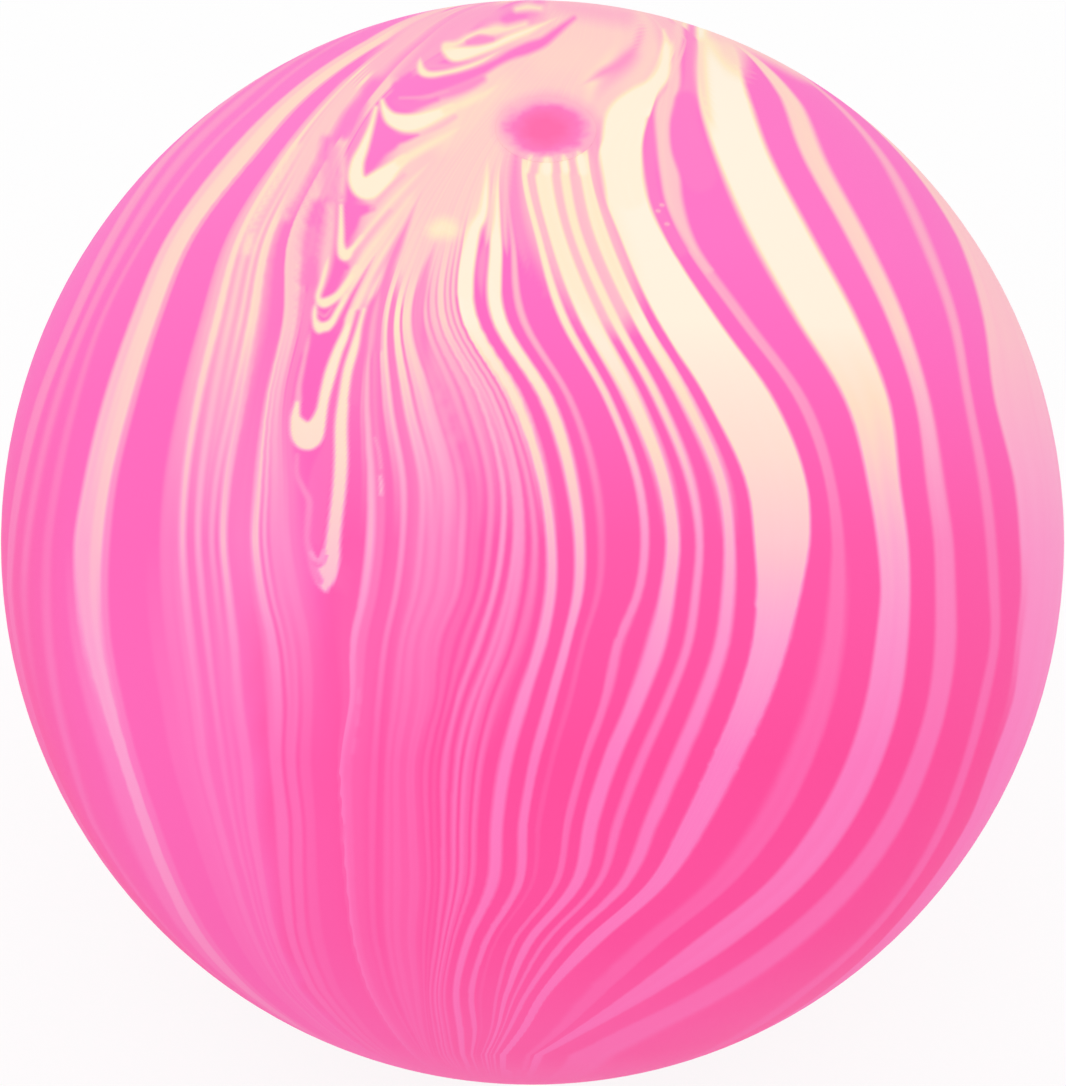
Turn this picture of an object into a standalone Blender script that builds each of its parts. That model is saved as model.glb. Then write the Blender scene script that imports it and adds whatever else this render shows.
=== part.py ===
"""Squishy ball: a moulded rubber skin, filled with soft dough, plugged and sealed at the crown.

Metres, +Z up. The origin is the middle of the flat patch that the ball rests on, and +Z runs
from there through the fill plug, which is the axis that every piece is turned about.
"""

import math

import bpy

# Outer skin: a slightly tall ball that settles under its own weight.
BALL_WIDTH = 0.0700
BALL_HEIGHT = 0.0727  # of the free ball, before it settles
REST_SAG = 0.0009  # how far the weight presses the base flat
SKIN_WALL = 0.0022

# Fill boss: the thick ring inside the crown that the fill hole runs through.
BOSS_DIAMETER = 0.0140
BOSS_LENGTH = 0.0036  # below the wall that it grows from
BOSS_FILLET = 0.0014  # where it flows into the wall
BOSS_EDGE = 0.0006  # rounding of its lower corner

# Fill hole: a bore with a wider seat at its mouth, which has a soft lip.
BORE_DIAMETER = 0.0036
BORE_CHAMFER = 0.0004
SEAT_DIAMETER = 0.0056
LIP_RADIUS = 0.0004

# Stopper: a head in the seat, a stem in the bore and a barb that locks behind the boss.
HEAD_THICKNESS = 0.0009
HEAD_EDGE = 0.0002
BARB_DIAMETER = 0.0048
BARB_RIM = 0.0004  # thickness of the barb's edge
BARB_LENGTH = 0.0028
BARB_TIP_DIAMETER = 0.0020

# Glue: a drop that fills the seat over the stopper's head.
SEAL_THICKNESS = 0.0006
SEAL_DISH = 0.0002  # how far its middle sinks as it cures
SEAL_RECESS = 0.0003  # its rim below the lip's top

# Room left between pieces that touch on the real ball.
FIT_GAP = 0.00025

# Facets.
TURN_STEPS = 48
OUTER_RINGS = 26
INNER_RINGS = 18
ARC_STEPS = 4
DISH_STEPS = 3

# Radii that the pieces share, and the ball's centre.
OUTER_RADIUS = BALL_WIDTH / 2
OUTER_RISE = BALL_HEIGHT / 2
CENTRE_Z = OUTER_RISE - REST_SAG
INNER_RADIUS = OUTER_RADIUS - SKIN_WALL
INNER_RISE = OUTER_RISE - SKIN_WALL
BORE_RADIUS = BORE_DIAMETER / 2
SEAT_RADIUS = SEAT_DIAMETER / 2
BOSS_RADIUS = BOSS_DIAMETER / 2
BOSS_ROOT_RADIUS = BOSS_RADIUS + BOSS_FILLET
LIP_OUTER_RADIUS = SEAT_RADIUS + LIP_RADIUS


def spheroid_z(radius, rise, x):
    """Height of the upper half of a spheroid about the ball's centre, at distance x from the axis."""
    return CENTRE_Z + rise * math.sqrt(1 - (x / radius) ** 2)


def spheroid_angle(rise, z):
    """Angle from the crown at which a spheroid about the ball's centre has height z."""
    return math.acos((z - CENTRE_Z) / rise)


def spheroid_arc(radius, rise, start, end, rings):
    """Points down a spheroid's side, from one angle from the crown to another."""
    points = []
    for ring in range(rings + 1):
        angle = start + (end - start) * ring / rings
        points.append((radius * math.sin(angle), CENTRE_Z + rise * math.cos(angle)))
    return points


def corner_arc(x, z, radius, start_deg, end_deg):
    """Points round a corner, about a centre, with angles from +X towards +Z."""
    points = []
    for step in range(ARC_STEPS + 1):
        angle = math.radians(start_deg + (end_deg - start_deg) * step / ARC_STEPS)
        points.append((x + radius * math.cos(angle), z + radius * math.sin(angle)))
    return points


# Heights that the pieces share, from the boss's face and the lip down through the fill hole.
BOSS_FACE_Z = spheroid_z(INNER_RADIUS, INNER_RISE, BOSS_ROOT_RADIUS) - BOSS_LENGTH
LIP_Z = spheroid_z(OUTER_RADIUS, OUTER_RISE, LIP_OUTER_RADIUS)
SEAL_RIM_Z = LIP_Z - SEAL_RECESS
SEAL_BASE_Z = SEAL_RIM_Z - SEAL_THICKNESS
HEAD_TOP_Z = SEAL_BASE_Z - FIT_GAP
HEAD_BASE_Z = HEAD_TOP_Z - HEAD_THICKNESS
SEAT_Z = HEAD_BASE_Z - FIT_GAP
BARB_TOP_Z = BOSS_FACE_Z - FIT_GAP


def cavity_side(inset):
    """Points round the inside of the skin, from the boss's face out, down and in to the base.

    The inset moves the line into the hollow, for what lies inside the skin.
    """
    radius = INNER_RADIUS - inset
    rise = INNER_RISE - inset
    floor_z = SKIN_WALL + inset
    boss_radius = BOSS_RADIUS + inset
    face_z = BOSS_FACE_Z - inset
    edge = BOSS_EDGE + inset
    fillet = BOSS_FILLET - inset
    root_z = spheroid_z(radius, rise, BOSS_ROOT_RADIUS)
    lower_corner = corner_arc(boss_radius - edge, face_z + edge, edge, -90, 0)
    root = corner_arc(BOSS_ROOT_RADIUS, root_z - fillet, fillet, 180, 90)
    root_angle = math.asin(BOSS_ROOT_RADIUS / radius)
    side = spheroid_arc(radius, rise, root_angle, spheroid_angle(rise, floor_z), INNER_RINGS)
    return lower_corner + root + side[1:] + [(0, floor_z)]


def skin_profile():
    """The skin's section: the inside up to the crown, through the fill hole and down the outside."""
    inside = cavity_side(0)[::-1]
    hole = [
        (BORE_RADIUS + BORE_CHAMFER, BOSS_FACE_Z),
        (BORE_RADIUS, BOSS_FACE_Z + BORE_CHAMFER),
        (BORE_RADIUS, SEAT_Z),
        (SEAT_RADIUS, SEAT_Z),
    ]
    lip = corner_arc(LIP_OUTER_RADIUS, LIP_Z - LIP_RADIUS, LIP_RADIUS, 180, 90)
    lip_angle = math.asin(LIP_OUTER_RADIUS / OUTER_RADIUS)
    base_angle = spheroid_angle(OUTER_RISE, 0)
    outside = spheroid_arc(OUTER_RADIUS, OUTER_RISE, lip_angle, base_angle, OUTER_RINGS)
    return inside + hole + lip + outside[1:] + [(0, 0)]


def barb_profile(inset):
    """The stopper's barb from its shoulder down to its tip; the inset grows it, for its pocket."""
    rim_radius = BARB_DIAMETER / 2 + inset
    tip_radius = BARB_TIP_DIAMETER / 2 + inset
    tip_z = BARB_TOP_Z - BARB_LENGTH - inset
    return [
        (rim_radius, BARB_TOP_Z - BARB_RIM),
        (tip_radius, tip_z),
        (0, tip_z),
    ]


def filling_profile():
    """The dough's section: the pocket that the barb presses in it, then the skin's own inside."""
    pocket = barb_profile(FIT_GAP)[::-1]
    mouth = [(pocket[-1][0], BOSS_FACE_Z - FIT_GAP)]
    return pocket + mouth + cavity_side(FIT_GAP)


def plug_profile():
    """The stopper's section, from the middle of its head down to the barb's tip."""
    head_radius = SEAT_RADIUS - FIT_GAP
    stem_radius = BORE_RADIUS - FIT_GAP
    head = [
        (0, HEAD_TOP_Z),
        (head_radius - HEAD_EDGE, HEAD_TOP_Z),
        (head_radius, HEAD_TOP_Z - HEAD_EDGE),
        (head_radius, HEAD_BASE_Z),
    ]
    stem = [
        (stem_radius, HEAD_BASE_Z),
        (stem_radius, BARB_TOP_Z),
        (BARB_DIAMETER / 2, BARB_TOP_Z),
    ]
    return head + stem + barb_profile(0)


def seal_profile():
    """The glue drop's section: a dished top inside the lip and a flat base on the stopper."""
    seal_radius = SEAT_RADIUS - FIT_GAP
    top = []
    for step in range(DISH_STEPS + 1):
        share = step / DISH_STEPS
        top.append((seal_radius * share, SEAL_RIM_Z - SEAL_DISH * (1 - share**2)))
    return top + [(seal_radius, SEAL_BASE_Z), (0, SEAL_BASE_Z)]


def finish(name, colour, roughness):
    """A plain material of one colour."""
    material = bpy.data.materials.new(name)
    material.use_nodes = True
    shader = material.node_tree.nodes["Principled BSDF"]
    shader.inputs["Base Color"].default_value = (*colour, 1)
    shader.inputs["Roughness"].default_value = roughness
    shader.inputs["Metallic"].default_value = 0
    return material


def holder(name, collection, z, parent=None):
    """An empty that carries pieces, on the ball's axis."""
    empty = bpy.data.objects.new(name, None)
    collection.objects.link(empty)
    empty.location.z = z
    empty.parent = parent
    return empty


def turned(name, profile, material, collection, carrier):
    """A piece turned about the ball's axis from its section, with its origin on its carrier's."""
    carrier_z = carrier.matrix_world.translation.z
    points = [(x, 0, z - carrier_z) for x, z in profile]
    mesh = bpy.data.meshes.new(name)
    mesh.from_pydata(points, [(i, i + 1) for i in range(len(points) - 1)], [])
    mesh.materials.append(material)
    piece = bpy.data.objects.new(name, mesh)
    collection.objects.link(piece)
    piece.parent = carrier
    screw = piece.modifiers.new("turn", "SCREW")
    screw.axis = "Z"
    screw.steps = TURN_STEPS
    screw.render_steps = TURN_STEPS
    screw.use_merge_vertices = True
    screw.merge_threshold = 0.00001
    screw.use_smooth_shade = True
    return piece


def clear_scene():
    for old in list(bpy.data.objects):
        bpy.data.objects.remove(old)


def build():
    clear_scene()
    collection = bpy.data.collections.new("squishy_ball")
    bpy.context.scene.collection.children.link(collection)
    ball = holder("ball", collection, 0)
    # The crown goes down the axis when the ball is pressed, and carries the stopper and its glue.
    crown = holder("crown", collection, SEAL_RIM_Z, ball)
    bpy.context.view_layer.update()

    skin_rubber = finish("pink_skin_rubber", (1.00, 0.15, 0.46), 0.55)
    dough = finish("pale_dough", (0.96, 0.70, 0.74), 0.80)
    plug_rubber = finish("deep_pink_plug_rubber", (1.00, 0.12, 0.37), 0.55)
    glue = finish("pink_tinted_glue", (1.00, 0.14, 0.40), 0.35)

    turned("outer_skin", skin_profile(), skin_rubber, collection, ball)
    turned("soft_filling", filling_profile(), dough, collection, ball)
    turned("fill_plug", plug_profile(), plug_rubber, collection, crown)
    turned("glue_seal", seal_profile(), glue, collection, crown)


build()
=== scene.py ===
import math

import bpy
import numpy as np
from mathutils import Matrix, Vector


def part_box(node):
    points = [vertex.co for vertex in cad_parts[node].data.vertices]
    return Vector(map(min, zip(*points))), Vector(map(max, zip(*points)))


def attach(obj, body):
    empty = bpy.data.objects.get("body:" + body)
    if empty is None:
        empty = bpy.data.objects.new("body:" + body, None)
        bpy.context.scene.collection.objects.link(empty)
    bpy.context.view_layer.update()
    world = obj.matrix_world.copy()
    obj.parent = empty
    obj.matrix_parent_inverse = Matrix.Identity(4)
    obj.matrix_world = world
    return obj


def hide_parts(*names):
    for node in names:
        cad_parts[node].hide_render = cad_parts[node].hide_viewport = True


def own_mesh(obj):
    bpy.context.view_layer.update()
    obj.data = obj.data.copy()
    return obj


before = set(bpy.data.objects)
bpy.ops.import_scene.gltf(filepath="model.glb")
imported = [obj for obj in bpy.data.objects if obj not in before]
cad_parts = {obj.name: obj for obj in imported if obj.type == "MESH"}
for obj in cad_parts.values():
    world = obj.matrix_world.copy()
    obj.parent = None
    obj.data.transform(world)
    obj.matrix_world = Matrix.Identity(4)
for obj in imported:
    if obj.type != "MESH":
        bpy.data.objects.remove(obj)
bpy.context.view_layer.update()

# Outer skin
# The ball's wall: soft thermoplastic rubber, moulded in one with the thick boss round its fill hole.
# Pink and cream rubber are poured together, so the colours swirl from the crown down to the base.
MM = 0.001
skin_low, skin_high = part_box("outer_skin")
OUTER_RADIUS = (skin_high.x - skin_low.x) / 2
OUTER_RISE = 36.35 * MM
REST_SAG = 0.9 * MM
CENTRE_Z = OUTER_RISE - REST_SAG

# Where the photo was taken from: its size and lens in pixels, and the eye's place about the ball.
PHOTO_WIDTH = 1066
PHOTO_HEIGHT = 1086
LENS_MM = 200
SENSOR_MM = 36
EYE_DISTANCE = 398.46 * MM
EYE_ELEVATION = math.radians(44.8)
EYE_ROLL = math.radians(1.8655)
EYE_SHIFT_RIGHT = 0.0368 * MM
EYE_SHIFT_UP = 0.0868 * MM

ball_centre = np.array([0, 0, CENTRE_Z])
ball_semi = np.array([OUTER_RADIUS, OUTER_RADIUS, OUTER_RISE])
towards_eye = np.array([0, -math.cos(EYE_ELEVATION), math.sin(EYE_ELEVATION)])
level_up = np.array([0, math.sin(EYE_ELEVATION), math.cos(EYE_ELEVATION)])
level_right = np.array([1.0, 0, 0])
eye_right = math.cos(EYE_ROLL) * level_right + math.sin(EYE_ROLL) * level_up
eye_up = math.cos(EYE_ROLL) * level_up - math.sin(EYE_ROLL) * level_right
eye = ball_centre + EYE_DISTANCE * towards_eye + EYE_SHIFT_RIGHT * eye_right + EYE_SHIFT_UP * eye_up
lens_pixels = LENS_MM / SENSOR_MM * PHOTO_HEIGHT

# Marbling
# Flow lines run from a pole behind the crown to one behind the base. Each line is known by its width
# mark: the photo column in which it crosses the ball's middle row.


def ball_under(columns, rows):
    """Points of the unit ball that photo pixels look at."""
    across = np.asarray(columns, float)[..., None] - PHOTO_WIDTH / 2
    down = np.asarray(rows, float)[..., None] - PHOTO_HEIGHT / 2
    ray = (across * eye_right - down * eye_up - lens_pixels * towards_eye) / ball_semi
    start = (eye - ball_centre) / ball_semi
    square = (ray * ray).sum(-1)
    along = (ray * start).sum(-1)
    reach = np.sqrt(np.maximum(along**2 - square * (start @ start - 1), 0))
    hit = start + ray * ((-along - reach) / square)[..., None]
    return hit / np.linalg.norm(hit, axis=-1, keepdims=True)


def photo_place(points):
    """Photo columns and rows of points of the unit ball."""
    offset = points * ball_semi + ball_centre - eye
    depth = -(offset @ towards_eye)
    columns = PHOTO_WIDTH / 2 + lens_pixels * (offset @ eye_right) / depth
    rows = PHOTO_HEIGHT / 2 - lens_pixels * (offset @ eye_up) / depth
    return columns, rows


def hidden_pole(right, up):
    """Unit vector to a pole on the far side, from its place across and up the photo in ball radii."""
    return right * eye_right + up * eye_up - math.sqrt(1 - right**2 - up**2) * towards_eye


TOP_POLE_PLACE = (0.12, 0.955)
BASE_POLE_PLACE = (-0.045, -0.985)
top_pole = hidden_pole(*TOP_POLE_PLACE)
base_pole = hidden_pole(*BASE_POLE_PLACE)
plane_x = eye_right - (eye_right @ base_pole) * base_pole
plane_x /= np.linalg.norm(plane_x)
plane_y = np.cross(-base_pole, plane_x)


def flat_map(points):
    """Stereographic map from the base pole, as complex numbers."""
    return (points @ plane_x + 1j * (points @ plane_y)) / (1 - points @ base_pole)


def flow_place(points):
    """How far along the flow a point is, and its angle round the poles, 0 at the middle of the front."""
    turned = np.log((flat_map(points) - flat_map(top_pole)) * 1j)
    return turned.real, turned.imag


# Flow lines read from the photo: the columns in which each crosses the rows, from the top down, and
# None above where it starts.
FLOW_ROWS = (40, 100, 160, 240, 320, 400, 490, 540, 590, 640, 700, 760, 820, 880, 940, 990)
FLOW_LINES = {
    "left_rim": (None, None, 163, 110, 72, 40, 18, 11, 9),
    "left_thread": (None, 260, 199, 143, 101, 75, 55, 48, 46, 48, 56, 71, 91),
    "left_band_outside": (367, 280, 222, 165, 131, 104, 83, 75, 76, 82, 97, 116, 136, 160, 194, 242),
    "left_band_inside": (388, 304, 251, 191, 158, 133, 111, 105, 103, 106, 118, 134, 154, 177, 210, 254),
    "fan_outside": (399, 330, 283, 238, 216, 197, 184, 182, 185, 191, 200, 208, 222, 238, 258, 285),
    "fan_inside": (415, 352, 315, 275, 262, 246, 229, 226, 231, 237, 242, 252, 256, 265, 278, 300),
    "seam_thread": (430, 372, 329, 292, 288, 271, 264, 262, 268, 280, 286, 284, 291, 292, 298, 318),
    "seam": (500, 388, 358, 338, 315, 297, 303, 306, 314, 322, 324, 322, 325, 328, 335, 350),
    "tongue_line": (540, 470, 440, 390, 358, 344, 338, 332, 330, 333, 338, 337, 339, 343, 350, 364),
    "right_of_seam": (552, 495, 450, 399, 373, 367, 371, 370, 364, 353, 351, 340, 342, 346, 353, 368),
    "wash_outside": (560, 505, 457, 411, 386, 389, 403, 402, 396, 386, 379, 375, 373, 372, 376, 388),
    "wash_inside": (568, 515, 470, 434, 416, 439, 463, 462, 457, 438, 432, 418, 419, 422, 418, 421),
    "grey_line": (574, 522, 478, 447, 440, 480, 503, 502, 494, 479, 458, 445, 443, 443, 436, 430),
    "middle_1": (580, 530, 492, 470, 470, 515, 544, 551, 551, 542, 523, 506, 497, 493, 467, 456),
    "middle_2": (585, 538, 500, 496, 499, 547, 573, 579, 578, 567, 551, 535, 524, 520, 487, 472),
    "middle_4": (592, 550, 524, 539, 564, 608, 640, 645, 639, 619, 605, 584, 568, 557, 514, 498),
    "middle_5": (597, 560, 543, 558, 590, 633, 666, 673, 668, 658, 636, 610, 591, 578, 530, 508),
    "middle_7": (606, 574, 583, 603, 640, 686, 723, 729, 728, 722, 703, 678, 652, 626, 566, 529),
    "broad_1_left": (666, 634, 597, 621, 657, 707, 748, 754, 757, 753, 736, 711, 683, 650, 585, 542),
    "broad_1_right": (680, 655, 642, 667, 718, 774, 808, 810, 801, 789, 769, 741, 710, 670, 603, 552),
    "peach_streak": (686, 668, 666, 687, 744, 802, 832, 838, 838, 834, 821, 799, 769, 723, 652, 599),
    "broad_2_left": (697, 699, 717, 752, 797, 845, 869, 877, 881, 876, 866, 847, 816, 770, 696, 631),
    "broad_2_right": (728, 750, 772, 814, 857, 889, 901, 908, 910, 908, 900, 882, 853, 808, 738, 661),
    "broad_3": (None, 790, 814, 858, 896, 922, 936, 943, 945, 945, 938, 920, 893, 851, 788, 715),
    "right_thread": (None, None, 884, 924, 953, 968, 985, 991, 994, 995, 983, 967, 945, 912, 863, 805),
    "right_rim": (None, None, None, 962, 988, 999, 1020, 1024, 1025, 1019, 1011, 990, 968),
}
# Next to the base the lines right of the wash sweep in to the left: their columns in two more rows.
BASE_ROWS = (1030, 1055)
BASE_LINES = {
    "wash_inside": (425, 432),
    "grey_line": (434, 440),
    "middle_1": (460, 463),
    "middle_2": (475, 472),
    "middle_4": (491, 481),
    "middle_5": (497, 486),
    "middle_7": (508, 494),
    "broad_1_left": (519, 500),
    "broad_1_right": (526, 506),
    "peach_streak": (560, 530),
    "broad_2_left": (574, 534),
    "broad_2_right": (590, 543),
    "broad_3": (636, 586),
}
MIDDLE_ROW = 540
# The far side goes on past both rims, to a seam in plain pink at the middle of the back.
BACK_MARKS = 550
LEAST_ANGLE = 1e-4


def smooth_rise(start, rise, start_slope, end_slope, t):
    """A smooth curve from a start value over a rise, with a slope at each end, as t goes from 0 to 1."""
    bend = 3 * rise - 2 * start_slope - end_slope
    return start + t * (start_slope + t * (bend + t * (start_slope + end_slope - 2 * rise)))


def smooth_curve(knots, values, at):
    """Smooth curve through values at rising knots, level past both ends."""
    slopes = np.gradient(values, knots)
    at = np.clip(at, knots[0], knots[-1])
    step = np.clip(np.searchsorted(knots, at) - 1, 0, len(knots) - 2)
    width = knots[step + 1] - knots[step]
    t = (at - knots[step]) / width
    rise = values[step + 1] - values[step]
    return smooth_rise(values[step], rise, slopes[step] * width, slopes[step + 1] * width, t)


flow_marks = []
flow_curves = []
for name, columns in FLOW_LINES.items():
    all_columns = columns + BASE_LINES.get(name, ())
    known = [place for place in zip(all_columns, FLOW_ROWS + BASE_ROWS) if place[0] is not None]
    along, angle = flow_place(ball_under(*np.array(known, float).T))
    flow_marks.append(columns[FLOW_ROWS.index(MIDDLE_ROW)])
    flow_curves.append((along, angle))
# Just past the rims the lines even out, to run round the back in slow waves: each one's place in the
# list, mark, angle and phase.
BACK_LINES = ((0, -83, -1.4, 1.0), (len(flow_marks) + 1, 1105, 1.22, 0.0))
BACK_WAVE = 0.06
BACK_WAVES = 2
BACK_REACH = 3
BACK_POINTS = 31
back_along = np.linspace(-BACK_REACH, BACK_REACH, BACK_POINTS)
for place, mark, angle, phase in BACK_LINES:
    flow_marks.insert(place, mark)
    flow_curves.insert(place, (back_along, angle + BACK_WAVE * np.sin(BACK_WAVES * back_along + phase)))


def width_mark(points):
    """Each point's width mark: that of the flow line through it, smooth and rising across the lines."""
    along, angle = flow_place(points)
    edges = [np.full(along.shape, -math.pi)]
    edges += [smooth_curve(knots, values, along) for knots, values in flow_curves]
    edges.append(np.full(along.shape, math.pi))
    edges = np.maximum.accumulate(np.array(edges), axis=0)
    marks = np.array([-BACK_MARKS, *flow_marks, PHOTO_WIDTH + BACK_MARKS], float)
    widths = np.maximum(np.diff(edges, axis=0), LEAST_ANGLE)
    steepness = np.diff(marks)[:, None] / widths
    slopes = np.concatenate([
        steepness[:1],
        2 / (1 / steepness[:-1] + 1 / steepness[1:]),
        steepness[-1:],
    ])
    place = np.clip((edges <= angle).sum(0) - 1, 0, len(marks) - 2)[None]

    def here(rows, step=0):
        return np.take_along_axis(rows, place + step, 0)[0]

    width = here(widths)
    t = np.clip((angle - here(edges)) / width, 0, 1)
    rise = np.diff(marks)[place[0]]
    return smooth_rise(marks[place[0]], rise, here(slopes) * width, here(slopes, 1) * width, t)


# Cream streaks: left and right edge in photo columns and share of cream, at three rows of the photo.
# A share of 0 says that the streak doesn't reach that row.
STREAK_ROWS = (320, 540, 760)
STREAKS = (
    ((68, 77, 0.22), (8, 15, 0.22), (-30, -20, 0.22)),
    ((83, 90, 0.15), (24, 30, 0.20), (44, 52, 0.20)),
    ((99, 104, 0.12), (44, 52, 0.15), (68, 75, 0.30)),
    ((131, 140, 0.60), (74, 91, 0.66), (103, 119, 0.48)),
    ((140, 156, 0.74), (91, 103, 0.80), (119, 130, 0.92)),
    ((156, 161, 0.30), (103, 110, 0.36), (130, 138, 0.42)),
    ((200, 211, 0.20), (160, 179, 0.20), (172, 196, 0.22)),
    ((212, 221, 0.36), (179, 186, 0.62), (198, 208, 0.36)),
    ((226, 233, 0.24), (195, 201, 0.50), (220, 226, 0.26)),
    ((238, 243, 0.24), (209, 214, 0.38), (231, 236, 0.18)),
    ((247, 258, 0.36), (219, 227, 0.62), (241, 252, 0.30)),
    ((283, 297, 0.60), (251, 260, 0.60), (270, 282, 0.36)),
    ((297, 301, 0.35), (262, 267, 0.45), (285, 296, 0.28)),
    ((303, 310, 0.15), (270, 290, 0.18), (300, 311, 0.15)),
    ((369, 374, 0.33), (366, 374, 0.68), (339.5, 344, 0.32)),
    ((377, 380, 0.10), (375, 384, 0.22), (345, 352, 0.15)),
    ((382, 388, 0.68), (400, 405, 0.40), (372, 378, 0.20)),
    ((394, 400, 0.76), (418, 423, 0.20), (386, 391, 0.14)),
    ((402, 412, 0.66), (429, 437, 0.14), (394, 400, 0.12)),
    ((424, 428, 0.40), (442, 450, 0.14), (407, 415, 0.12)),
    ((431, 437, 0.35), (459, 465, 0.26), (424, 429, 0.16)),
    ((440, 447, 0.42), (470, 479, 0.12), (433, 437, 0.10)),
    ((449, 453, 0.35), (486, 492, 0.34), (442, 448, 0.36)),
    ((455, 459, 0.40), (500, 505, 0.56), (454, 461, 0.46)),
    ((-1, -1, 0.00), (513, 518, 0.52), (463, 469, 0.42)),
    ((-1, -1, 0.00), (519, 525, 0.46), (470, 474, 0.20)),
    ((-1, -1, 0.00), (532, 538, 0.36), (477, 483, 0.38)),
    ((462, 478, 0.98), (546, 556, 0.77), (500, 513, 0.58)),
    ((492, 507, 0.98), (574, 585, 0.79), (530, 540, 0.50)),
    ((520, 527, 0.50), (598, 605, 0.18), (549, 555, 0.10)),
    ((560, 569, 0.90), (641, 649, 0.54), (580, 588, 0.37)),
    ((580, 600, 1.00), (666, 680, 0.80), (602, 619, 0.57)),
    ((610, 620, 0.95), (696, 703, 0.60), (636, 646, 0.46)),
    ((633, 647, 0.98), (724, 735, 0.71), (670, 686, 0.54)),
    ((657, 718, 1.00), (754, 810, 0.90), (711, 741, 0.60)),
    ((738, 750, 0.38), (832, 844, 0.22), (786, 813, 0.26)),
    ((797, 857, 1.00), (877, 908, 0.68), (847, 882, 0.55)),
    ((888, 905, 0.70), (934, 953, 0.35), (910, 931, 0.40)),
    ((949, 958, 0.36), (986, 996, 0.25), (963, 972, 0.28)),
    ((984, 1017, 0.60), (1020, 1063, 0.52), (992, 1019, 0.55)),
)
# Softer washes of cream that lie under the streaks, in the same terms.
WASHES = (
    ((207, 262, 0.42), (182, 230, 0.14), (196, 256, 0.14)),
    ((264, 302, 0.04), (234, 302, 0.20), (-1, -1, 0.00)),
    ((356, 428, 0.12), (390, 412, 0.08), (-1, -1, 0.00)),
    ((428, 460, 0.28), (412, 464, 0.26), (384, 420, 0.14)),
    ((-1, -1, 0.00), (-1, -1, 0.00), (338, 372, 0.13)),
)
# Streaks of the far side, by width mark.
BACK_STREAKS = (
    (-500, -470, 0.55),
    (-452, -440, 0.30),
    (-410, -350, 0.70),
    (-322, -312, 0.35),
    (-288, -280, 0.25),
    (-250, -215, 0.60),
    (-206, -195, 0.40),
    (-168, -138, 0.65),
    (-120, -112, 0.30),
    (-94, -86, 0.25),
    (-68, -52, 0.45),
    (1050, 1125, 0.52),
    (1150, 1186, 0.75),
    (1200, 1210, 0.35),
    (1236, 1268, 0.60),
    (1290, 1298, 0.30),
    (1330, 1345, 0.45),
    (1370, 1440, 0.75),
    (1462, 1472, 0.35),
    (1500, 1530, 0.55),
    (1556, 1566, 0.30),
)
STREAK_EDGE = 3
WASH_EDGE = 12
BACK_EDGE = 6


def marked(streaks, row):
    """The streaks of one photo row, with their edges as width marks."""
    found = []
    for left, right, cream in streaks:
        if cream > 0:
            marks = width_mark(ball_under([left, right], [row, row]))
            found.append((float(marks[0]), float(marks[1]), cream))
    return found


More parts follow.
